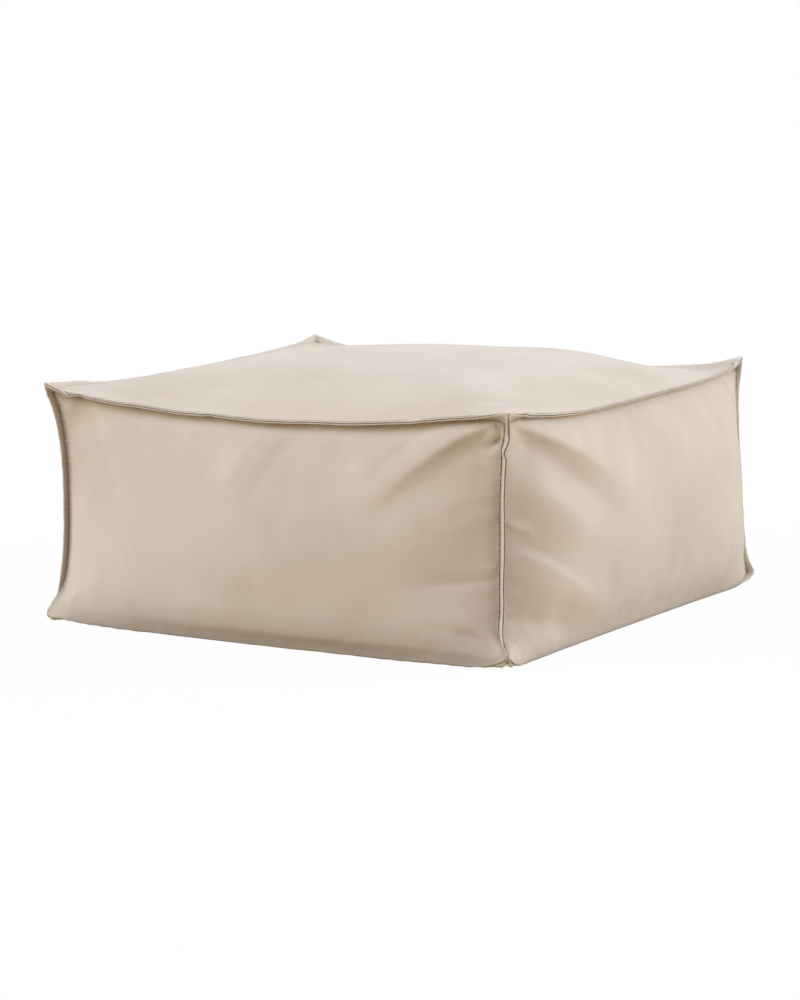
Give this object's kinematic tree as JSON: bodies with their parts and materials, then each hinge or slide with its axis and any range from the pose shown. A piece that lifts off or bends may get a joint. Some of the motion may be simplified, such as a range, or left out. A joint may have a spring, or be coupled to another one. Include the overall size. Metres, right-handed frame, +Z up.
{
  "type": "cube pouf stool",
  "caption": "Low square floor pouf in plain canvas, softly filled and slumped, with every seam turned outward as a flange.",
  "frame": {"origin": "on the floor, under the middle of the pouf's flat underside", "axes": "+Z up; the front panel faces -Y and the right panel faces +X"},
  "size_m": [0.9805, 0.9803, 0.4413],
  "materials": {
    "canvas": "matt plain-woven cotton canvas",
    "canvas_edge": "matt plain-woven cotton canvas, turned in and pressed"
  },
  "bodies": {
    "root": {"pouf_body": "canvas", "top_panel_edge": "canvas_edge", "base_panel_edge": "canvas_edge", "front_panel_edge": "canvas_edge", "right_panel_edge": "canvas_edge", "back_panel_edge": "canvas_edge", "left_panel_edge": "canvas_edge"}
  },
  "joints": []
}
